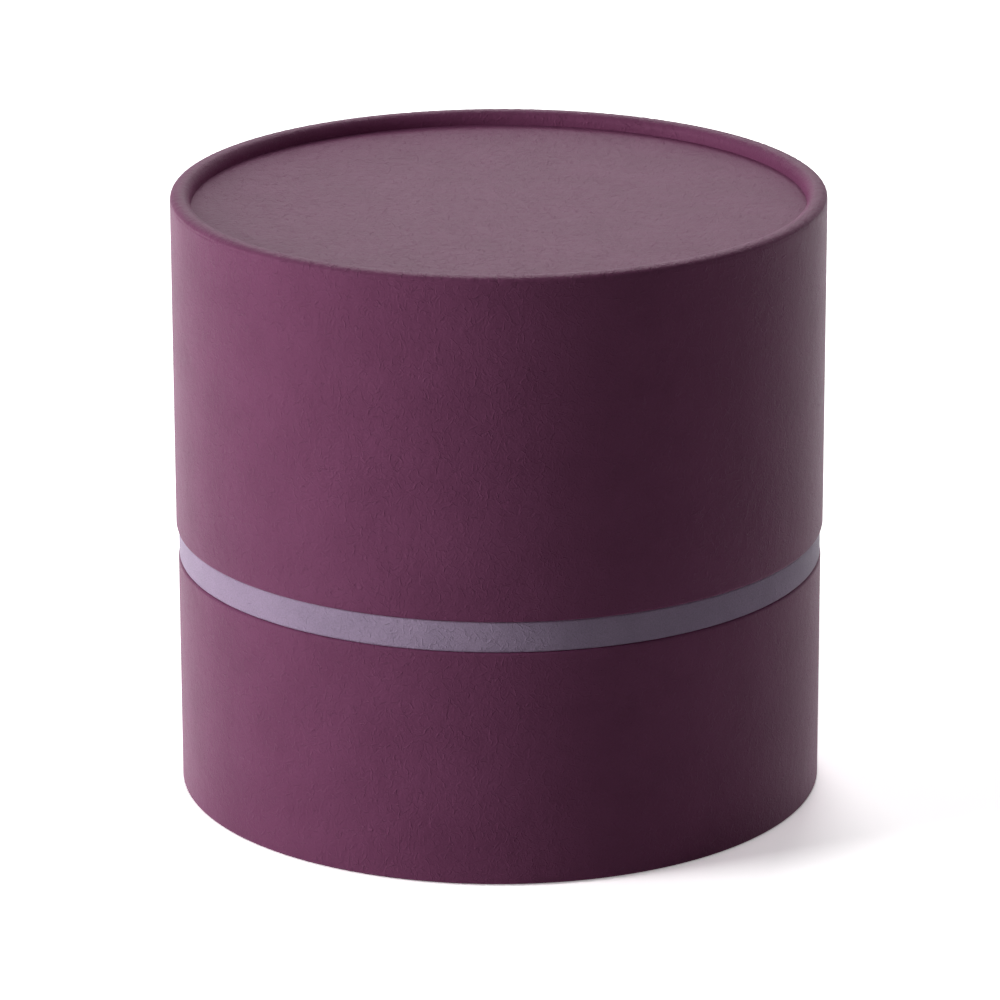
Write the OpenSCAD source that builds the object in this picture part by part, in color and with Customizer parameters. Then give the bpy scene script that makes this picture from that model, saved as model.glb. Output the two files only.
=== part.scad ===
// Cylindrical gift tube box: a lift-off lid with a rolled rim, over a base whose neck carries a
// flush collar that the lid comes down on. Board tubes and discs, wrapped and lined with paper.
// Millimetres, +Z up, origin at the centre of the underside, drawn with the lid on.

/* [Lid] */
// Outer diameter of the wrapped lid
lid_diameter = 110; // [70:1:200]
// Height of the lid, from its lower edge to the top of its rim
lid_height = 57.9; // [45:0.1:150]
// Depth of the top disc below the top of the rim
disc_recess = 2.4; // [1.8:0.1:8]
// Rounding of the rolled rim on its outer side, over the paper
rim_outer_round = 1; // [0.5:0.1:1.5]
// Rounding of the rolled rim on its inner side, over the paper
rim_inner_round = 1.4; // [0.5:0.1:1.6]

/* [Base] */
// Height of the wrapped base, from the underside to its rim
base_height = 40.5; // [25:0.1:150]
// How far the wrap is turned under the bottom
bottom_turn = 10; // [5:0.5:20]
// Bare border between the edge of the bottom's cover paper and the edge of the base
cover_border = 2.5; // [1:0.5:4]

/* [Neck and collar] */
// Height of the coloured collar that shows between base and lid
collar_height = 5.3; // [3:0.1:20]
// How far the collar lies behind the outside of the base
collar_setback = 0.15; // [0:0.05:0.5]
// Height of the neck above the collar, inside the lid
neck_rise = 22; // [15:0.5:38]

/* [Board] */
// Thickness of the lid's tube
lid_board = 1.5; // [1.2:0.1:2.5]
// Thickness of the base's tube
base_board = 1.5; // [1.2:0.1:2.5]
// Thickness of the neck
neck_board = 1.5; // [1:0.1:2.5]
// Thickness of the two discs
disc_board = 1.5; // [1:0.1:3]
// Rounding of the cut edges of the board
edge_round = 0.3; // [0.1:0.05:0.4]

/* [Paper] */
// Thickness of the outer wrapping papers
wrap_paper = 0.2; // [0.1:0.05:0.3]
// Thickness of the lining papers
lining_paper = 0.15; // [0.1:0.05:0.3]
// How far a wrap is turned in over an open edge
turn_in = 12; // [6:0.5:14]
// How far a wrap is turned in behind the collar
collar_turn = 1.2; // [1:0.1:1.4]
// Distance from an open edge to the edge of its lining
lining_drop = 4; // [2:0.5:5]
// Width of the glued lap where a wrap meets itself at the back
seam_lap = 8; // [4:0.5:15]

/* [Fits] */
// Radial gap between the neck and the lining of the lid
lid_clearance = 0.25; // [0.15:0.05:0.6]
// Radial glue line between the neck and what is glued on it
glue_line = 0.1; // [0.05:0.05:0.2]
// Radial gap round a disc in its tube, and round a lining disc in its lining
disc_fit = 0.1; // [0.05:0.05:0.3]

/* [Hidden] */
$fn = 144;

plum = [0.47, 0.31, 0.41];
lavender = [0.76, 0.65, 0.8];
greyboard = [0.6, 0.57, 0.53];
ivory = [0.93, 0.91, 0.88];

// Radii from the lid inwards: board of the lid, its narrowest bore, and the neck that runs in it
lid_r = lid_diameter / 2;
lid_board_out = lid_r - wrap_paper;
lid_board_in = lid_board_out - lid_board;
lid_bore = lid_board_in - wrap_paper - lining_paper;
neck_r = lid_bore - lid_clearance;
neck_board_out = neck_r - wrap_paper;
neck_board_in = neck_board_out - neck_board;

// Radii from the neck outwards: what is glued on it, the board of the base and its wrap
seat_r = neck_r + glue_line;
base_board_in = seat_r + wrap_paper;
base_board_out = base_board_in + base_board;
base_r = base_board_out + wrap_paper;
collar_r = base_r - collar_setback;
turn_edge_r = base_r - bottom_turn;

// Heights: cover paper and turned wrap under the board of the bottom, then collar, lid and neck
board_floor = 2 * wrap_paper;
disc_top = board_floor + disc_board;
lid_floor = base_height + collar_height;
lid_top = lid_floor + lid_height;
recess_floor = lid_top - disc_recess;
lid_disc_top = recess_floor - wrap_paper;
ceiling = lid_disc_top - disc_board;
neck_top = lid_floor + neck_rise;

// The roll is the lid's own board folded back on itself
roll_in = lid_r - 2 * (lid_board + wrap_paper);
wrap_round = edge_round + wrap_paper;

// Cuts one sharp corner of a section back to a round; side_r and side_z point out of the corner
module corner_cut(r, z, side_r, side_z, radius) {
    if (radius > 0)
        difference() {
            translate([r - (side_r > 0 ? radius : 0), z - (side_z > 0 ? radius : 0)])
                square(radius);
            translate([r - side_r * radius, z - side_z * radius]) circle(radius);
        }
}

// Section between two radii and two heights; each pair of rounds is [inner, outer]
module band(r_in, r_out, z_low, z_high, low = [0, 0], high = [0, 0]) {
    difference() {
        translate([r_in, z_low]) square([r_out - r_in, z_high - z_low]);
        corner_cut(r_in, z_low, -1, -1, low[0]);
        corner_cut(r_out, z_low, 1, -1, low[1]);
        corner_cut(r_in, z_high, -1, 1, high[0]);
        corner_cut(r_out, z_high, 1, 1, high[1]);
    }
}

// Section of a lining that lies on a wall and laps over the edge of the wrap turned in on it
module lapped_lining(wall_r, z_far, z_step, z_end) {
    toward = z_far > z_step ? lining_paper : -lining_paper;
    polygon([
        [wall_r, z_far],
        [wall_r, z_step],
        [wall_r - wrap_paper, z_step],
        [wall_r - wrap_paper, z_end],
        [wall_r - wrap_paper - lining_paper, z_end],
        [wall_r - wrap_paper - lining_paper, z_step + toward],
        [wall_r - lining_paper, z_step + toward],
        [wall_r - lining_paper, z_far]
    ]);
}

// The end of a wrap, glued over its beginning in a straight strip at the back
module lap(outer_r, z_low, z_high) {
    lap_angle = 360 * seam_lap / (2 * PI * outer_r);
    rotate([0, 0, 90 - lap_angle / 2])
        rotate_extrude(angle = lap_angle)
            band(outer_r - wrap_paper, outer_r + wrap_paper, z_low, z_high);
}

// Disc between two heights
module disc(radius, z_low, z_high) {
    translate([0, 0, z_low]) cylinder(r = radius, h = z_high - z_low);
}

// Section of the base's board
module base_board_section() {
    band(base_board_in, base_board_out, board_floor, base_height - wrap_paper,
        low = [0, edge_round], high = [edge_round, edge_round]);
}

module base_tube() {
    color(greyboard) rotate_extrude() base_board_section();
}

// Plum paper round the base, turned in over its rim and turned under its bottom
module base_wrap() {
    color(plum) {
        rotate_extrude() difference() {
            union() {
                band(seat_r, base_r, base_height - turn_in, base_height,
                    high = [wrap_round, wrap_round]);
                band(turn_edge_r, base_r, wrap_paper, base_height - turn_in,
                    low = [0, wrap_round]);
            }
            base_board_section();
            translate([0, board_floor]) square([base_board_in, base_height - turn_in - board_floor]);
        }
        lap(base_r, wrap_paper + wrap_round, base_height - wrap_round);
    }
}

module base_bottom_disc() {
    color(greyboard) disc(base_board_in - disc_fit, board_floor, disc_top);
}

// Cover paper under the bottom, which hides the edge of the turned wrap
module base_bottom_cover() {
    color(plum) rotate_extrude() {
        band(0, turn_edge_r, wrap_paper, board_floor);
        band(turn_edge_r - wrap_paper, base_r - cover_border, 0, wrap_paper);
    }
}

// Section of the neck's board, which stands on the bottom disc
module neck_board_section() {
    band(neck_board_in, neck_board_out, disc_top, neck_top - wrap_paper,
        high = [edge_round, edge_round]);
}

module neck_tube() {
    color(greyboard) rotate_extrude() neck_board_section();
}

// Lavender paper round the neck, turned in over its open edge
module neck_wrap() {
    color(lavender) rotate_extrude() difference() {
        union() {
            band(neck_board_in - wrap_paper, neck_r, neck_top - turn_in, neck_top,
                high = [wrap_round, wrap_round]);
            band(neck_board_out, neck_r, disc_top, neck_top - turn_in);
        }
        neck_board_section();
    }
}

module neck_lining() {
    color(ivory) rotate_extrude()
        lapped_lining(neck_board_in, disc_top, neck_top - turn_in, neck_top - lining_drop);
}

module floor_lining() {
    color(ivory) disc(neck_board_in - lining_paper - disc_fit, disc_top, disc_top + lining_paper);
}

// Section of the collar's board, whose back edges stay square against the neck
module collar_board_section() {
    band(base_board_in, collar_r - wrap_paper, base_height + wrap_paper, lid_floor - wrap_paper,
        low = [0, edge_round], high = [0, edge_round]);
}

module collar_ring() {
    color(greyboard) rotate_extrude() collar_board_section();
}

// Lavender paper round the collar, turned in behind it along both edges
module collar_wrap() {
    color(lavender) rotate_extrude() difference() {
        band(seat_r, collar_r, base_height, lid_floor,
            low = [0, wrap_round], high = [0, wrap_round]);
        collar_board_section();
        translate([seat_r, base_height + collar_turn])
            square([wrap_paper, collar_height - 2 * collar_turn]);
    }
}

// Section of the lid's board: the wall, and its end rolled inwards and down on to the disc
module lid_board_section() {
    band(lid_board_in, lid_board_out, lid_floor + wrap_paper, lid_top - rim_outer_round,
        low = [edge_round, edge_round]);
    band(roll_in + wrap_paper, lid_board_out, recess_floor, lid_top - wrap_paper,
        high = [rim_inner_round - wrap_paper, rim_outer_round - wrap_paper]);
}

module lid_tube() {
    color(greyboard) rotate_extrude() lid_board_section();
}

// Plum paper round the lid, over the rolled rim down to the disc, and turned in at the lower edge
module lid_wrap() {
    color(plum) {
        rotate_extrude() difference() {
            union() {
                band(lid_board_in - wrap_paper, lid_r, lid_floor, lid_floor + turn_in,
                    low = [wrap_round, wrap_round]);
                band(lid_board_out, lid_r, lid_floor + turn_in, lid_top - rim_outer_round);
                band(roll_in, lid_r, recess_floor, lid_top,
                    high = [rim_inner_round, rim_outer_round]);
            }
            lid_board_section();
        }
        lap(lid_r, lid_floor + wrap_round, lid_top - rim_outer_round);
    }
}

module lid_top_disc() {
    color(greyboard) disc(lid_board_in - disc_fit, ceiling, lid_disc_top);
}

module lid_top_cover() {
    color(plum) disc(lid_board_in - disc_fit, lid_disc_top, recess_floor);
}

module lid_lining() {
    color(ivory) rotate_extrude()
        lapped_lining(lid_board_in, ceiling, lid_floor + turn_in, lid_floor + lining_drop);
}

module lid_ceiling_lining() {
    color(ivory) disc(lid_board_in - lining_paper - disc_fit, ceiling - lining_paper, ceiling);
}

base_tube();
base_wrap();
base_bottom_disc();
base_bottom_cover();
neck_tube();
neck_wrap();
neck_lining();
floor_lining();
collar_ring();
collar_wrap();
lid_tube();
lid_wrap();
lid_top_disc();
lid_top_cover();
lid_lining();
lid_ceiling_lining();
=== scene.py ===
import math

import bpy
import numpy as np
from mathutils import Matrix, Vector


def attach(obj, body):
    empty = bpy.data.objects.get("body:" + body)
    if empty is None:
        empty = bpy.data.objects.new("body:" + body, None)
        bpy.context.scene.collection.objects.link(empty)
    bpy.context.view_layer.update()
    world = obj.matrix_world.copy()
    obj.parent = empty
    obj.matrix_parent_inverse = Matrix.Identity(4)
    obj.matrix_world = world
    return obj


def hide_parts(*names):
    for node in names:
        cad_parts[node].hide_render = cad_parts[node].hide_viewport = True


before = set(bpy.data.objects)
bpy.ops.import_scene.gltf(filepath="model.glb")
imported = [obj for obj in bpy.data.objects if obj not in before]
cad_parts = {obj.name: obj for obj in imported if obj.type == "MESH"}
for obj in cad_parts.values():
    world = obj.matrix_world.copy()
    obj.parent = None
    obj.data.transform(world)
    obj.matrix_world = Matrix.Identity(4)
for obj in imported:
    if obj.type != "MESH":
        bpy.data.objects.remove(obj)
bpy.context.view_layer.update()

scene = bpy.context.scene
mm = 0.001
samePoint = 1e-8         # metres: points nearer than this count as one
onAxis = 1e-9            # metres: a radius under this lies on the axis
sharpAngle = 40.0        # degrees: faces that meet at more than this show an edge


# the camera that the photograph's outlines fit, in metres and degrees
cameraPlace = {
    "location": (0.0, -0.95062, 0.35902),
    "pitch": 18.074,     # below the horizon
    "yaw": -0.0053,
    "roll": -0.151,
    "lens": 211.46,      # mm, as is the sensor's width
    "sensor": 36.0,
    "nearest": 0.05,
    "farthest": 50.0,
}


# turned about the line of sight, then tilted up from straight down, then turned about Z
def makeCamera(place):
    data = bpy.data.cameras.new("camera")
    data.lens = place["lens"]
    data.sensor_width = place["sensor"]
    data.clip_start = place["nearest"]
    data.clip_end = place["farthest"]
    camera = bpy.data.objects.new("camera", data)
    scene.collection.objects.link(camera)
    turn = (Matrix.Rotation(math.radians(place["yaw"]), 4, "Z")
            @ Matrix.Rotation(math.radians(90.0 - place["pitch"]), 4, "X")
            @ Matrix.Rotation(math.radians(place["roll"]), 4, "Z"))
    camera.matrix_world = Matrix.Translation(Vector(place["location"])) @ turn
    scene.camera = camera


makeCamera(cameraPlace)
print("camera placed")


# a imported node's smallest and largest radius about the axis, and its lowest and highest point
def nodeSpan(name):
    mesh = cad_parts[name].data
    co = np.empty(len(mesh.vertices) * 3)
    mesh.vertices.foreach_get("co", co)
    co = co.reshape(-1, 3)
    radius = np.hypot(co[:, 0], co[:, 1])
    return {"rIn": float(radius.min()), "rOut": float(radius.max()),
            "low": float(co[:, 2].min()), "high": float(co[:, 2].max())}


lidBoard = nodeSpan("lid_tube")
lidDisc = nodeSpan("lid_top_disc")
lidCover = nodeSpan("lid_top_cover")
lidLiner = nodeSpan("lid_lining")
ceilingLiner = nodeSpan("lid_ceiling_lining")
lidPaper = nodeSpan("lid_wrap")
baseBoard = nodeSpan("base_tube")
basePaper = nodeSpan("base_wrap")
baseDisc = nodeSpan("base_bottom_disc")
baseCover = nodeSpan("base_bottom_cover")
neckBoard = nodeSpan("neck_tube")
neckPaper = nodeSpan("neck_wrap")
neckLiner = nodeSpan("neck_lining")
floorLiner = nodeSpan("floor_lining")
collarBoard = nodeSpan("collar_ring")
collarPaper = nodeSpan("collar_wrap")

discFit = 0.1 * mm                          # a disc is cut this much smaller than its tube
wrapThick = lidCover["high"] - lidCover["low"]
liningThick = ceilingLiner["high"] - ceilingLiner["low"]
lidRadius = lidBoard["rOut"] + wrapThick
baseRadius = baseBoard["rOut"] + wrapThick
collarRadius = collarPaper["rOut"]
lidWallIn = lidDisc["rOut"] + discFit
neckWallIn = neckBoard["rIn"]
print("frame measured, lid radius %.2f mm" % (lidRadius / mm))


# sections: arrays of (r, z), run so that the visible side lies on the right of the way they go

# a path through corners (r, z, round): each corner becomes an arc of its own radius, which
# touches both of its sides, and each straight is cut into lengths of about step
def cornered(corners, step, arcSteps=8):
    points = np.array([corner[:2] for corner in corners], float)
    rounds = [corner[2] if len(corner) > 2 else 0.0 for corner in corners]
    out = [points[:1]]
    for i in range(1, len(points)):
        if i == len(points) - 1 or rounds[i] <= 0:
            arc = points[i:i + 1]
        else:
            back = points[i - 1] - points[i]
            onward = points[i + 1] - points[i]
            back = back / np.linalg.norm(back)
            onward = onward / np.linalg.norm(onward)
            middle = back + onward
            half = math.acos(max(-1.0, min(1.0, float(back @ onward)))) / 2
            centre = points[i] + middle / np.linalg.norm(middle) * rounds[i] / math.sin(half)
            start = points[i] + back * rounds[i] / math.tan(half) - centre
            end = points[i] + onward * rounds[i] / math.tan(half) - centre
            sweep = math.atan2(start[0] * end[1] - start[1] * end[0], start @ end)
            turn = np.linspace(0, sweep, arcSteps + 1)
            arc = centre + np.stack([start[0] * np.cos(turn) - start[1] * np.sin(turn),
                                     start[0] * np.sin(turn) + start[1] * np.cos(turn)], 1)
        gap = np.linalg.norm(arc[0] - out[-1][-1])
        count = max(1, int(round(gap / step)))
        along = np.linspace(0, 1, count + 1)[1:-1, None]
        out.append(out[-1][-1] * (1 - along) + arc[0] * along)
        out.append(arc)
    path = np.concatenate(out)
    keep = np.r_[True, np.linalg.norm(np.diff(path, axis=0), axis=1) > samePoint]
    return path[keep]


# unit vectors to the right of the way along a path: its direction turned by a quarter
def sideways(path):
    way = np.gradient(path, axis=0)
    way /= np.linalg.norm(way, axis=1)[:, None]
    return np.stack([way[:, 1], -way[:, 0]], 1)


# a sheet of even thickness: the path, and the path moved left by the thickness and run backwards
def sheetSection(path, thick):
    return np.concatenate([path, (path - sideways(path) * thick)[::-1]])


# angles round the axis, evenly spread, with a few more packed round each edge of a lap
def ringAngles(count, lapEdges=()):
    besideEdge = np.array([-12, -6, -2, 2, 6, 12]) * 1e-4      # radians
    even = np.linspace(0, 2 * math.pi, count, endpoint=False)
    extra = [edge + besideEdge for edge in lapEdges]
    return np.unique(np.concatenate([even] + extra))


# uneven ripple round the axis, about -1 to 1: a sum of cosines with whole numbers of waves,
# drawn between the fewest and the most
def ripple(theta, fewest, most, cosines, seed):
    rng = np.random.default_rng(seed)
    waves = rng.integers(fewest, most, cosines)
    phase = rng.uniform(0, 2 * math.pi, cosines)
    usualPeak = 1.25 * math.sqrt(cosines)
    return np.cos(np.outer(theta, waves) + phase).sum(1) / usualPeak


# the surface r(s) cos t, r(s) sin t, z(s), with lift(t, s) added to r and z. A section that starts
# and ends on the axis gets a single point there, and any other one closes on itself. The layer
# "sheet" holds the paper's own metres: arc length round and along it, or x and y on a disc
def revolve(name, section, theta, lift=None):
    poles = section[0, 0] < onAxis and section[-1, 0] < onAxis
    body = section[1:-1] if poles else section
    turns, points = len(theta), len(body)
    r = np.repeat(body[None, :, 0], turns, 0)
    z = np.repeat(body[None, :, 1], turns, 0)
    if lift is not None:
        dr, dz = lift(theta, body)
        r, z = r + dr, z + dz
    co = np.stack([r * np.cos(theta)[:, None], r * np.sin(theta)[:, None], z], 2).reshape(-1, 3)
    i = np.arange(turns)[:, None]
    j = np.arange(points - 1 if poles else points)[None, :]
    i2, j2 = (i + 1) % turns, (j + 1) % points
    quads = np.stack([i * points + j, i2 * points + j, i2 * points + j2, i * points + j2], 2)
    faces, loops = quads.reshape(-1, 4).tolist(), quads.reshape(-1)
    if poles:
        south, north = turns * points, turns * points + 1
        co = np.concatenate([co, [[0, 0, section[0, 1]], [0, 0, section[-1, 1]]]])
        ring = np.arange(turns)
        following = (ring + 1) % turns
        under = np.stack([np.full(turns, south), following * points, ring * points], 1)
        over = np.stack([np.full(turns, north), ring * points + points - 1,
                         following * points + points - 1], 1)
        caps = np.concatenate([under, over])
        faces += caps.tolist()
        uv = co[np.concatenate([loops, caps.reshape(-1)])][:, :2]
    else:
        steps = np.linalg.norm(np.diff(body, axis=0), axis=1)
        length = np.r_[0, np.cumsum(steps)]
        length = np.r_[length, length[-1] + np.linalg.norm(body[-1] - body[0])]
        around = np.r_[theta, theta[0] + 2 * math.pi] * float(np.abs(body[:, 0]).max())
        iu = np.stack([i + 0 * j, i + 1 + 0 * j, i + 1 + 0 * j, i + 0 * j], 2)
        jv = np.stack([j + 0 * i, j + 0 * i, j + 1 + 0 * i, j + 1 + 0 * i], 2)
        uv = np.stack([around[iu], length[jv]], 3).reshape(-1, 2)
    mesh = bpy.data.meshes.new(name)
    mesh.from_pydata(co.tolist(), [], faces)
    layer = mesh.uv_layers.new(name="sheet")
    layer.data.foreach_set("uv", uv.astype(np.float32).reshape(-1))
    mesh.polygons.foreach_set("use_smooth", np.ones(len(faces), bool))
    mesh.update()
    piece = bpy.data.objects.new(name, mesh)
    scene.collection.objects.link(piece)
    return piece


# a finished piece gets its material, the body it moves with and the node it stands for
def dress(piece, material, body, node):
    piece.data.materials.append(material)
    piece.data.set_sharp_from_angle(angle=math.radians(sharpAngle))
    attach(piece, body)
    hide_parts(node)


# materials

fibreGrid = {
    "shift": (3.7, 9.1),       # cells from one layer to the next
    "turn": 0.9,               # radians from one layer to the next
    "deepest": -0.6,           # a stroke pressed in, against 1 for one that stands up
}
noiseReach = {"From Min": 0.3, "From Max": 0.7}      # nearly all of a noise lies in here


# empties a node tree, and gives a function that adds a node with its inputs linked or set
def nodeTools(owner):
    tree = owner.node_tree
    tree.nodes.clear()

    def add(kind, inputs=None, **settings):
        node = tree.nodes.new(kind)
        for key, value in settings.items():
            setattr(node, key, value)
        for key, value in (inputs or {}).items():
            if isinstance(value, bpy.types.NodeSocket):
                tree.links.new(value, node.inputs[key])
            else:
                node.inputs[key].default_value = value
        return node

    return tree, add


# one short stroke in every cell of a jittered grid: the cell's colour turns the stroke, which is
# 1 on its line and fades to 0 at half its width and half its length
def fibreLayer(add, sheet, look, seed):
    cell = look["fibreCell"]
    shift, turn = fibreGrid["shift"], fibreGrid["turn"]
    place = add("ShaderNodeMapping", {
        "Vector": sheet, "Location": (shift[0] * seed, shift[1] * seed, 0.0),
        "Rotation": (0.0, 0.0, turn * seed), "Scale": (1.0 / cell, 1.0 / cell, 1.0)}).outputs[0]
    cells = add("ShaderNodeTexVoronoi", {"Vector": place, "Scale": 1.0}, voronoi_dimensions="2D")
    cast = add("ShaderNodeSeparateColor", {0: cells.outputs["Color"]})
    away = add("ShaderNodeVectorMath", {0: place, 1: cells.outputs["Position"]},
               operation="SUBTRACT")
    angle = add("ShaderNodeMath", {0: cast.outputs[0], 1: 2 * math.pi}, operation="MULTIPLY")
    turned = add("ShaderNodeVectorRotate",
                 {"Vector": away.outputs[0], "Angle": angle.outputs[0]}, rotation_type="Z_AXIS")
    size = add("ShaderNodeVectorMath", {0: turned.outputs[0]}, operation="ABSOLUTE")
    along = add("ShaderNodeSeparateXYZ", {0: size.outputs[0]})
    fading = {"To Min": 1.0, "To Max": 0.0}
    slim = add("ShaderNodeMapRange", {
        "Value": along.outputs[1], "From Max": look["fibreWidth"] / cell / 2, **fading},
        interpolation_type="SMOOTHSTEP")
    short = add("ShaderNodeMapRange", {
        "Value": along.outputs[0], "From Min": look["fibreLength"] / cell / 4,
        "From Max": look["fibreLength"] / cell / 2, **fading}, interpolation_type="SMOOTHSTEP")
    stroke = add("ShaderNodeMath", {0: slim.outputs[0], 1: short.outputs[0]},
                 operation="MULTIPLY")
    strength = add("ShaderNodeMapRange", {
        "Value": cast.outputs[1], "To Min": fibreGrid["deepest"], "To Max": 1.0})
    return add("ShaderNodeMath", {0: stroke.outputs[0], 1: strength.outputs[0]},
               operation="MULTIPLY").outputs[0]


# uncoated paper: layers of short fibres that stand up from the sheet or press into it, over a
# fine tooth and a soft waviness. Raised fibres are a little paler, hollows a little deeper
def fibrePaper(name, look):
    material = bpy.data.materials.new(name)
    material.use_nodes = True
    tree, add = nodeTools(material)

    def noise(where, scale, **more):
        return add("ShaderNodeTexNoise", {"Vector": where, "Scale": scale, **more},
                   noise_dimensions="2D")

    def scaledAdd(value, factor, rest):
        return add("ShaderNodeMath", {0: value, 1: factor, 2: rest},
                   operation="MULTIPLY_ADD").outputs[0]

    def scaled(vector, factor):
        return add("ShaderNodeVectorMath", {0: vector, "Scale": factor},
                   operation="SCALE").outputs[0]

    uv = add("ShaderNodeUVMap", uv_map="sheet").outputs["UV"]
    inMm = scaled(uv, 1 / mm)
    bend = noise(inMm, look["bendScale"], Detail=2.0)
    middle = add("ShaderNodeVectorMath", {0: bend.outputs["Color"], 1: (0.5, 0.5, 0.5)},
                 operation="SUBTRACT")
    pushed = scaled(middle.outputs[0], look["fibreBend"])
    sheet = add("ShaderNodeVectorMath", {0: inMm, 1: pushed}, operation="ADD").outputs[0]
    fibres = fibreLayer(add, sheet, look, 1)
    for seed in range(2, look["fibreLayers"] + 1):
        other = fibreLayer(add, sheet, look, seed)
        fibres = add("ShaderNodeMath", {0: fibres, 1: other}, operation="ADD").outputs[0]
    tooth = noise(inMm, look["toothScale"], Detail=3.0, Roughness=0.6).outputs["Fac"]
    waves = noise(inMm, look["waveScale"], Detail=2.0).outputs["Fac"]
    cloud = noise(inMm, look["cloudScale"], Detail=3.0).outputs["Fac"]
    raised = add("ShaderNodeMath", {0: fibres, 1: look["fibreHeight"]},
                 operation="MULTIPLY").outputs[0]
    height = scaledAdd(waves, look["waveHeight"], scaledAdd(tooth, look["toothHeight"], raised))
    bump = add("ShaderNodeBump", {"Height": height, "Strength": 1.0, "Distance": look["relief"]})
    spread = add("ShaderNodeMapRange", {"Value": cloud, **noiseReach}).outputs[0]
    clouded = add("ShaderNodeMix", {0: spread, 6: (*look["deep"], 1.0), 7: (*look["pale"], 1.0)},
                  data_type="RGBA").outputs[2]
    grain = add("ShaderNodeMapRange", {
        "Value": tooth, **noiseReach,
        "To Min": 1.0 - look["speck"], "To Max": 1.0 + look["speck"]}).outputs[0]
    colour = scaled(clouded, scaledAdd(fibres, look["fibreShow"], grain))
    shader = add("ShaderNodeBsdfPrincipled", {
        "Base Color": colour, "Roughness": look["roughness"],
        "Specular IOR Level": look["specular"],
        "Specular Tint": (*look["specularTint"], 1.0), "Normal": bump.outputs[0]})
    out = add("ShaderNodeOutputMaterial")
    tree.links.new(shader.outputs[0], out.inputs["Surface"])
    material.diffuse_color = (*look["pale"], 1.0)
    return material


plumLook = {
    "deep": (0.248, 0.075, 0.166),
    "pale": (0.276, 0.085, 0.186),
    "fibreLayers": 3,
    "fibreCell": 1.3,          # mm, and so are the next three
    "fibreLength": 1.9,
    "fibreWidth": 0.26,
    "fibreBend": 1.1,
    "bendScale": 0.9,          # noise scales are in waves to the millimetre
    "fibreHeight": 0.8,
    "fibreShow": 0.06,
    "toothScale": 2.6,
    "toothHeight": 0.8,
    "waveScale": 0.5,
    "waveHeight": 1.2,
    "cloudScale": 0.09,
    "speck": 0.04,
    "relief": 0.075 * mm,
    "roughness": 0.45,
    "specular": 0.12,
    "specularTint": (1.0, 0.6, 0.8),
}
lavenderLook = dict(
    plumLook,
    deep=(0.54, 0.41, 0.60), pale=(0.62, 0.47, 0.68), fibreShow=0.05, speck=0.09,
    toothScale=3.4, specularTint=(1.0, 0.9, 1.0))
ivoryLook = dict(
    plumLook,
    deep=(0.74, 0.70, 0.63), pale=(0.80, 0.765, 0.70), fibreShow=0.03, speck=0.02,
    fibreHeight=0.4, toothHeight=0.4, specularTint=(1.0, 1.0, 1.0))
boardLook = dict(
    plumLook,
    deep=(0.26, 0.235, 0.20), pale=(0.34, 0.31, 0.27), fibreShow=0.25, speck=0.14,
    toothScale=2.2, cloudScale=0.3, specularTint=(1.0, 1.0, 1.0))
plumPaper = fibrePaper("plumPaper", plumLook)
lavenderPaper = fibrePaper("lavenderPaper", lavenderLook)
ivoryPaper = fibrePaper("ivoryPaper", ivoryLook)
greyboard = fibrePaper("greyboard", boardLook)
print("papers and board mixed")


# the glued lap at the back of both outer wraps
lapLook = {"width": 8.0 * mm, "cut": 0.03 * mm, "ramp": 2.5 * mm}


# rise of a wrap over its own beginning: a sharp cut edge on one side of the strip and a slow
# ramp, 3 x squared less 2 x cubed, on the other
def lapLift(theta, radius, look):
    arc = (theta - math.pi / 2) * radius
    cut = np.clip((arc + look["width"] / 2) / look["cut"], 0, 1)
    ramp = np.clip((look["width"] / 2 - arc) / look["ramp"], 0, 1)
    return wrapThick * cut * ramp * ramp * (3 - 2 * ramp)


# the angle of the lap's cut edge, a quarter turn round to the back
def lapEdge(radius, look):
    return math.pi / 2 - look["width"] / 2 / radius


# the lid's wrap, with its rolled rim

lidWrapLook = {
    "rimOuterFall": 1.0 * mm,    # from the top of the rim down to the crease on its outer side
    "rimInnerFall": 1.9 * mm,    # from the top of the rim down to the straight inner side
    "rimPower": 2.3,             # 2 is an ellipse, more is squarer
    "outerPoints": 15,
    "innerPoints": 13,
    "edgeRound": 0.5 * mm,
    "turnIn": 12.0 * mm,
    "wallStep": 6.0 * mm,
    "segments": 760,
    "creaseLead": 0.6 * mm,      # the wall's long steps end this far under the crease
    "creaseReach": 0.5 * mm,     # and its short ones start this far under it
    "creasePoints": 7,
    "creaseBand": 0.6 * mm,      # how far in from the wall the crease reaches
    "creaseDepth": 0.07 * mm,
    "creaseWidth": 0.16 * mm,
    "creaseUneven": 0.35,        # share of the depth that comes and goes
    "creaseRipple": (5, 60, 14, 3),      # fewest and most waves, how many cosines, and the seed
    "pleatHeight": 0.035 * mm,
    "pleatLimit": 1.2,
    "pleatSink": 0.4,            # pleats press in more than they stand up
    "pleatUneven": 0.45,
    "pleatRipple": (110, 270, 26, 5),
    "pleatGroups": (4, 24, 8, 6),
    "pleatStart": 0.25 * mm,     # they start under the crease and are full after pleatRise
    "pleatRise": 0.4 * mm,
    "pleatEnd": 0.4 * mm,        # they end inside the crown and are full after pleatFade
    "pleatFade": 1.2 * mm,
}


# a quarter of a superellipse: |x / across| ^ power + |y / up| ^ power = 1, between two degrees
def quarter(centre, across, up, power, start, end, count):
    t = np.radians(np.linspace(start, end, count))
    c, s = np.cos(t), np.sin(t)
    x = np.sign(c) * np.abs(c) ** (2 / power) * across
    y = np.sign(s) * np.abs(s) ** (2 / power) * up
    return np.stack([centre[0] + x, centre[1] + y], 1)


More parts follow.
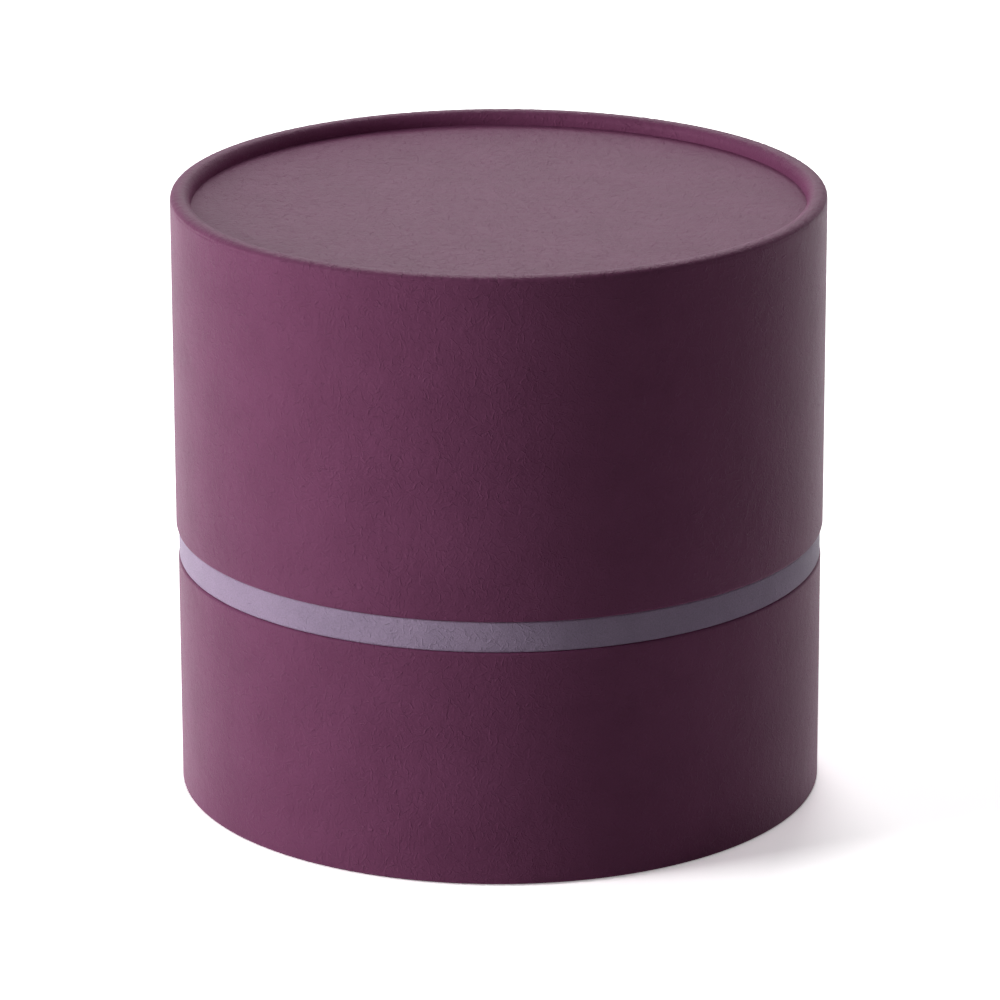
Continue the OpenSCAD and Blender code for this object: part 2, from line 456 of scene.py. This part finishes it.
# the turned-in edge, the wall up to the crease, and a rim of two superellipse quarters. The crease
# is a dip exp(-(z / width) ^ 2), and pleats are ripple times ripple, faded in over both sides
def makeLidWrap(look):
    low, top = lidPaper["low"], lidPaper["high"]
    insideR = lidWallIn - wrapThick
    rollIn = lidBoard["rIn"] - wrapThick
    half = (lidRadius - rollIn) / 2
    crown = lidRadius - half
    creaseAt = top - look["rimOuterFall"]
    innerAt = top - look["rimInnerFall"]
    lower = cornered([
        (insideR, low + look["turnIn"]), (insideR, low, look["edgeRound"]),
        (lidRadius, low, look["edgeRound"]), (lidRadius, creaseAt - look["creaseLead"])],
        look["wallStep"])
    nearCrease = np.stack([
        np.full(look["creasePoints"], lidRadius),
        np.linspace(creaseAt - look["creaseReach"], creaseAt, look["creasePoints"])], 1)
    outer = quarter((crown, creaseAt), half, look["rimOuterFall"], look["rimPower"],
                    0, 90, look["outerPoints"])[1:]
    inner = quarter((crown, innerAt), half, look["rimInnerFall"], look["rimPower"],
                    90, 180, look["innerPoints"])[1:]
    down = np.array([[rollIn, (innerAt + lidCover["high"]) / 2], [rollIn, lidCover["high"]]])
    path = np.concatenate([lower, nearCrease, outer, inner, down])
    section = sheetSection(path, wrapThick)
    out = sideways(section)
    seen = np.arange(len(section)) < len(path)
    wall = seen & (section[:, 0] > lidRadius - 0.01 * mm)
    onOuter = seen & (section[:, 0] > lidRadius - look["creaseBand"])

    def lift(theta, body):
        crease = np.exp(-((body[:, 1] - creaseAt) / look["creaseWidth"]) ** 2) * onOuter
        uneven = 1 - look["creaseUneven"] + look["creaseUneven"] * ripple(theta, *look["creaseRipple"])
        sink = -look["creaseDepth"] * np.outer(uneven, crease)
        rise = np.clip((body[:, 1] - creaseAt + look["pleatStart"]) / look["pleatRise"], 0, 1)
        fade = np.clip((body[:, 0] - crown + look["pleatEnd"]) / look["pleatFade"], 0, 1)
        shift = ripple(theta, *look["pleatRipple"])
        groups = ripple(theta, *look["pleatGroups"])
        shift = shift * (1 - look["pleatUneven"] + look["pleatUneven"] * groups)
        limited = np.clip(shift, -look["pleatLimit"], look["pleatLimit"])
        pleats = look["pleatHeight"] * np.outer(limited - look["pleatSink"], seen * rise * fade)
        lap = np.outer(lapLift(theta, lidRadius, lapLook), wall)
        total = sink + pleats
        return total * out[:, 0] + lap, total * out[:, 1]

    theta = ringAngles(look["segments"], [lapEdge(lidRadius, lapLook)])
    return revolve("lidWrap", section, theta, lift)


lidWrap = makeLidWrap(lidWrapLook)
dress(lidWrap, plumPaper, "lid", "lid_wrap")
print("lid wrapped:", len(lidWrap.data.polygons), "faces")


# the base's wrap: under the bottom, up the wall, over the rim and down behind the collar

baseWrapLook = {
    "edgeRound": 0.5 * mm,
    "turnIn": 12.0 * mm,
    "bottomTurn": 10.0 * mm,
    "wallStep": 2.6 * mm,
    "segments": 860,
}


# a path of straights and arcs, given its thickness, with the lap added to its outer wall
def makeBaseWrap(look):
    low, rim = basePaper["low"], basePaper["high"]
    turnedIn = baseBoard["rIn"] - wrapThick
    path = cornered([
        (baseRadius - look["bottomTurn"], low), (baseRadius, low, look["edgeRound"]),
        (baseRadius, rim, look["edgeRound"]), (turnedIn, rim, look["edgeRound"]),
        (turnedIn, rim - look["turnIn"])], look["wallStep"])
    section = sheetSection(path, wrapThick)
    seen = np.arange(len(section)) < len(path)
    wall = seen & (section[:, 0] > baseRadius - 0.01 * mm)

    def lift(theta, body):
        lap = np.outer(lapLift(theta, baseRadius, lapLook), wall)
        return lap, 0 * lap

    theta = ringAngles(look["segments"], [lapEdge(baseRadius, lapLook)])
    return revolve("baseWrap", section, theta, lift)


baseWrap = makeBaseWrap(baseWrapLook)
dress(baseWrap, plumPaper, "base", "base_wrap")
print("base wrapped:", len(baseWrap.data.polygons), "faces")


# collar, neck and their papers

collarLook = {"edgeRound": 0.45 * mm, "turn": 1.2 * mm, "step": 0.9 * mm, "segments": 720}
neckLook = {"edgeRound": 0.5 * mm, "turnIn": 12.0 * mm, "step": 3.0 * mm, "segments": 480}


# from the turned edge behind the collar, round its lower edge, up its face and back behind it
def makeCollarWrap(look):
    low, high, back = collarPaper["low"], collarPaper["high"], collarPaper["rIn"]
    path = cornered([
        (back, low + look["turn"]), (back, low, look["edgeRound"]),
        (collarRadius, low, look["edgeRound"]), (collarRadius, high, look["edgeRound"]),
        (back, high, look["edgeRound"]), (back, high - look["turn"])], look["step"])
    return revolve("collarWrap", sheetSection(path, wrapThick), ringAngles(look["segments"]))


# up the outside of the neck, over its open edge and a way down its inside
def makeNeckWrap(look):
    low, high = neckPaper["low"], neckPaper["high"]
    path = cornered([
        (neckPaper["rOut"], low), (neckPaper["rOut"], high, look["edgeRound"]),
        (neckPaper["rIn"], high, look["edgeRound"]),
        (neckPaper["rIn"], high - look["turnIn"])], look["step"])
    return revolve("neckWrap", sheetSection(path, wrapThick), ringAngles(look["segments"]))


collarWrap = makeCollarWrap(collarLook)
dress(collarWrap, lavenderPaper, "base", "collar_wrap")
neckWrap = makeNeckWrap(neckLook)
dress(neckWrap, lavenderPaper, "base", "neck_wrap")
print("collar and neck wrapped")


# linings

liningLook = {"stepRound": 0.06 * mm, "step": 3.0 * mm, "segments": 480}


# down the wall, with a step of one wrap's thickness where it laps over the turned wrap
def makeLining(name, wallIn, span, stepAt, lappedAbove, look):
    near, far = wallIn - wrapThick - liningThick, wallIn - liningThick
    first, second = (near, far) if lappedAbove else (far, near)
    path = cornered([(first, span["high"]), (first, stepAt, look["stepRound"]),
                     (second, stepAt, look["stepRound"]), (second, span["low"])], look["step"])
    return revolve(name, sheetSection(path, liningThick), ringAngles(look["segments"]))


neckStep = neckPaper["high"] - neckLook["turnIn"] - liningThick
neckLining = makeLining("neckLining", neckWallIn, neckLiner, neckStep, True, liningLook)
dress(neckLining, ivoryPaper, "base", "neck_lining")
lidStep = lidPaper["low"] + lidWrapLook["turnIn"] + liningThick
lidLining = makeLining("lidLining", lidWallIn, lidLiner, lidStep, False, liningLook)
dress(lidLining, ivoryPaper, "lid", "lid_lining")
print("linings laid")


# discs

discLook = {
    "segments": 480,
    "step": 6.0 * mm,
    "arcSteps": 4,
    "paperRound": 0.04 * mm,
    "boardRound": 0.12 * mm,
}


# from the axis out along the underside, round the edge and back along the top
def makeDisc(name, span, edge, look):
    path = cornered([(0, span["low"]), (span["rOut"], span["low"], edge),
                     (span["rOut"], span["high"], edge), (0, span["high"])],
                    look["step"], look["arcSteps"])
    return revolve(name, path, ringAngles(look["segments"]))


# the cover under the base, high in the middle and one sheet lower where it lies on the turned wrap
def makeSteppedCover(name, span, turnEdge, look):
    low, high = span["low"], span["high"]
    mid, edge = (low + high) / 2, look["paperRound"]
    path = cornered([(0, mid), (turnEdge - wrapThick, mid, edge), (turnEdge - wrapThick, low, edge),
                     (span["rOut"], low, edge), (span["rOut"], mid, edge),
                     (turnEdge, mid, edge), (turnEdge, high, edge), (0, high)],
                    look["step"], look["arcSteps"])
    return revolve(name, path, ringAngles(look["segments"]))


topCover = makeDisc("topCover", lidCover, discLook["paperRound"], discLook)
dress(topCover, plumPaper, "lid", "lid_top_cover")
turnEdge = baseRadius - baseWrapLook["bottomTurn"]
bottomCover = makeSteppedCover("bottomCover", baseCover, turnEdge, discLook)
dress(bottomCover, plumPaper, "base", "base_bottom_cover")
floorPaper = makeDisc("floorPaper", floorLiner, discLook["paperRound"], discLook)
dress(floorPaper, ivoryPaper, "base", "floor_lining")
ceilingPaper = makeDisc("ceilingPaper", ceilingLiner, discLook["paperRound"], discLook)
dress(ceilingPaper, ivoryPaper, "lid", "lid_ceiling_lining")
print("discs cut")


# boards, all of them covered by their papers

boardShape = {
    "segments": 360,
    "step": 4.0 * mm,
    "arcSteps": 5,
    "cutRound": 0.3 * mm,
    "rollOuterRound": 1.0 * mm,
    "rollInnerRound": 1.4 * mm,
}


# a closed section of straights and arcs, turned about the axis
def makeTube(name, corners, look):
    path = cornered(corners + corners[:1], look["step"], look["arcSteps"])[:-1]
    return revolve(name, path, ringAngles(look["segments"]))


# a plain wall with rounded cut edges, started half way up its inner side
def straightTube(name, span, look):
    cut, mid = look["cutRound"], (span["low"] + span["high"]) / 2
    corners = [(span["rIn"], mid), (span["rIn"], span["low"], cut), (span["rOut"], span["low"], cut),
               (span["rOut"], span["high"], cut), (span["rIn"], span["high"], cut)]
    return makeTube(name, corners, look)


# the same wall, with its top rolled inwards and down on to the disc
def makeLidTube(look):
    rollIn, low, cut = lidBoard["rIn"], lidBoard["low"], look["cutRound"]
    outer, top = lidBoard["rOut"], lidBoard["high"]
    tip = lidCover["high"]
    corners = [(lidWallIn, (low + tip) / 2), (lidWallIn, low, cut), (outer, low, cut),
               (outer, top, look["rollOuterRound"]), (rollIn, top, look["rollInnerRound"]),
               (rollIn, tip), (lidWallIn, tip)]
    return makeTube("lidTube", corners, look)


lidTube = makeLidTube(boardShape)
dress(lidTube, greyboard, "lid", "lid_tube")
baseTube = straightTube("baseTube", baseBoard, boardShape)
dress(baseTube, greyboard, "base", "base_tube")
neckTube = straightTube("neckTube", neckBoard, boardShape)
dress(neckTube, greyboard, "base", "neck_tube")
collarRing = straightTube("collarRing", collarBoard, boardShape)
dress(collarRing, greyboard, "base", "collar_ring")
topDisc = makeDisc("topDisc", lidDisc, discLook["boardRound"], discLook)
dress(topDisc, greyboard, "lid", "lid_top_disc")
bottomDisc = makeDisc("bottomDisc", baseDisc, discLook["boardRound"], discLook)
dress(bottomDisc, greyboard, "base", "base_bottom_disc")
print("boards built")


# floor, world and lights

studio = {
    "floorSize": 6.0,
    "floorSeenSlope": 3.2,     # how the camera sees the floor: this much of the light that falls there
    "floorSeenBase": 0.33,     # and this much whatever falls there
    "floorBounce": 0.5,        # colour of the floor for the light that it sends back
    "ambient": 0.05,
    "lampDistance": 1.2,
    "lampAim": (0, 0, 0.055),
}
# each lamp is a disc that faces the box: degrees round from the front towards the left, degrees up
lamps = {
    "key": {"round": 73, "up": 13, "size": 0.5, "power": 7.3},
    "keyHigh": {"round": 75, "up": 42, "size": 0.5, "power": 0.9},
    "back": {"round": 180, "up": 40, "size": 0.6, "power": 3.3},
    "backRight": {"round": -150, "up": 50, "size": 0.7, "power": 0.5},
    "right": {"round": -100, "up": 15, "size": 0.4, "power": 0.15},
}


# 1 for camera, glossy and transmission rays, and 0 for the rest
def seenRays(add):
    path = add("ShaderNodeLightPath")
    first = add("ShaderNodeMath", {0: path.outputs["Is Camera Ray"],
                                   1: path.outputs["Is Glossy Ray"]}, operation="MAXIMUM")
    return add("ShaderNodeMath", {0: first.outputs[0],
                                  1: path.outputs["Is Transmission Ray"]},
               operation="MAXIMUM").outputs[0]


# a flat square that sends back light as a matt grey and is seen as a paler, lit one
def makeFloor(look):
    half = look["floorSize"] / 2
    corners = [(-half, -half, 0), (half, -half, 0), (half, half, 0), (-half, half, 0)]
    mesh = bpy.data.meshes.new("floor")
    mesh.from_pydata(corners, [], [(0, 1, 2, 3)])
    floor = bpy.data.objects.new("floor", mesh)
    scene.collection.objects.link(floor)
    material = bpy.data.materials.new("floorWhite")
    material.use_nodes = True
    tree, add = nodeTools(material)
    seen = seenRays(add)
    tone = add("ShaderNodeMapRange", {
        "Value": seen, "To Min": look["floorBounce"], "To Max": look["floorSeenSlope"]})
    glow = add("ShaderNodeMapRange", {
        "Value": seen, "To Min": 0.0, "To Max": look["floorSeenBase"]})
    matt = add("ShaderNodeBsdfDiffuse", {"Color": tone.outputs[0]})
    base = add("ShaderNodeEmission", {"Strength": glow.outputs[0]})
    both = add("ShaderNodeAddShader", {0: matt.outputs[0], 1: base.outputs[0]})
    out = add("ShaderNodeOutputMaterial")
    tree.links.new(both.outputs[0], out.inputs["Surface"])
    mesh.materials.append(material)


def makeWorld(look):
    world = bpy.data.worlds.new("studio")
    world.use_nodes = True
    scene.world = world
    tree, add = nodeTools(world)
    strength = add("ShaderNodeMapRange", {
        "Value": seenRays(add), "To Min": look["ambient"], "To Max": 1.0})
    background = add("ShaderNodeBackground", {
        "Color": (1, 1, 1, 1), "Strength": strength.outputs[0]})
    out = add("ShaderNodeOutputWorld")
    tree.links.new(background.outputs[0], out.inputs["Surface"])


def makeLamp(name, lamp, look):
    turn, up = math.radians(lamp["round"]), math.radians(lamp["up"])
    toLamp = Vector((-math.sin(turn) * math.cos(up), -math.cos(turn) * math.cos(up), math.sin(up)))
    data = bpy.data.lights.new(name, "AREA")
    data.shape = "DISK"
    data.size = lamp["size"]
    data.energy = lamp["power"]
    light = bpy.data.objects.new(name, data)
    light.location = Vector(look["lampAim"]) + toLamp * look["lampDistance"]
    light.rotation_euler = (-toLamp).to_track_quat("-Z", "Y").to_euler()
    scene.collection.objects.link(light)


makeFloor(studio)
makeWorld(studio)
for lampName, lampLook in lamps.items():
    makeLamp(lampName, lampLook, studio)
scene.view_settings.view_transform = "Standard"
print("studio lit")
